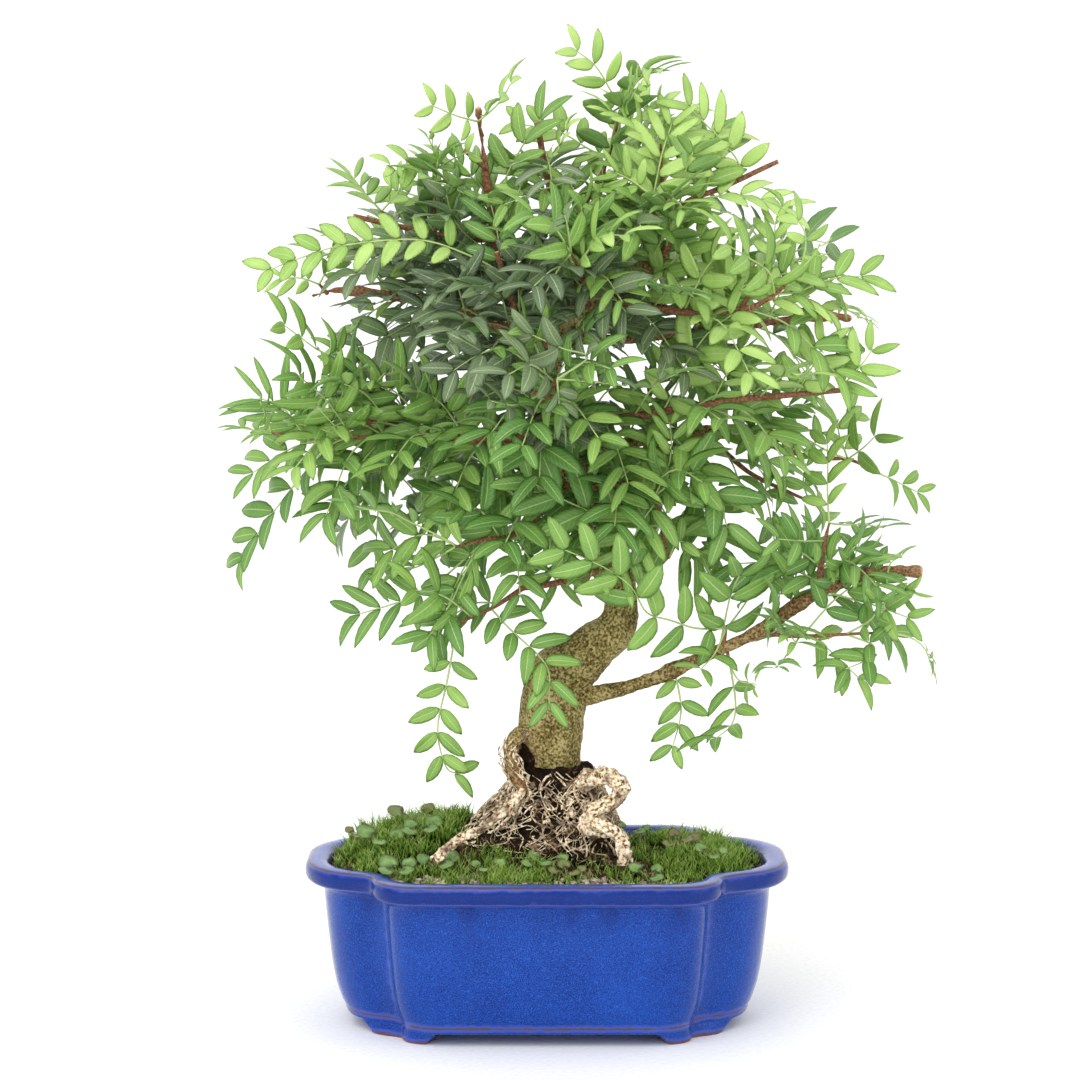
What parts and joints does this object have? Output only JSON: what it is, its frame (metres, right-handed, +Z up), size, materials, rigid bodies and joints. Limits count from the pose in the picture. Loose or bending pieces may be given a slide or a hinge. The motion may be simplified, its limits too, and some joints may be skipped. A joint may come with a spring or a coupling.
{
  "type": "mastic tree bonsai in pot",
  "caption": "Mastic tree bonsai with a curved trunk, bare cut limbs and feathery leaves over exposed roots, in a lobed blue glazed pot with feet.",
  "frame": {"origin": "on the ground under the middle of the bounding box of tree and pot together", "axes": "+Z up the tree, -Y towards the front the tree is shown from, +X to the right as seen from that front, along the pot's long side"},
  "size_m": [0.368, 0.3148, 0.5011],
  "materials": {
    "glaze": "glossy blue glaze with fine dark speckles, thinned to brown on the edges",
    "screen": "moulded plastic mesh",
    "soil": "coarse grit and earth",
    "root_earth": "dark earth bound by fine roots",
    "root": "bare pale root bark",
    "moss": "living moss",
    "weed": "soft round leaves",
    "bark": "granular tan bark, red-brown on the twigs",
    "leaf": "leathery young leaf, satin",
    "old_leaf": "leathery older leaf, satin"
  },
  "bodies": {
    "root": {"back_left": "old_leaf", "back_limb_left": "old_leaf", "back_limb_right": "old_leaf", "back_low": "old_leaf", "back_right": "old_leaf", "back_top": "old_leaf", "back_upper": "old_leaf", "bracket_right": "leaf", "centre_a": "old_leaf", "centre_b": "old_leaf", "centre_left": "old_leaf", "cut_twig_mid": "leaf", "cut_twig_tip": "leaf", "drain_screen_left": "screen", "drain_screen_right": "screen", "far_left": "leaf", "front_centre": "old_leaf", "front_right": "leaf", "front_shoot": "leaf", "front_top": "old_leaf", "hang_right_a": "leaf", "hang_right_b": "leaf", "left_crown": "leaf", "left_dark": "old_leaf", "left_fan": "leaf", "left_hidden": "old_leaf", "left_inner": "old_leaf", "left_long": "leaf", "left_tip": "leaf", "left_top": "leaf", "left_upper": "old_leaf", "long_twig": "leaf", "low_left": "leaf", "low_left_twig": "leaf", "low_right_twig": "leaf", "moss_left": "moss", "moss_right": "moss", "pot": "glaze", "right_dark": "old_leaf", "right_drop": "leaf", "right_end": "leaf", "right_far": "leaf", "right_low_bright": "leaf", "right_star": "leaf", "right_stub": "leaf", "root_left": "root", "root_loop": "root", "root_mound": "root_earth", "soil": "soil", "top_left_leaves": "leaf", "top_mid_leaves": "leaf", "top_right_a": "leaf", "top_right_b": "leaf", "top_tip": "leaf", "trunk": "bark", "upper_right": "leaf", "upper_right_b": "leaf", "weed_left": "weed"}
  },
  "joints": []
}
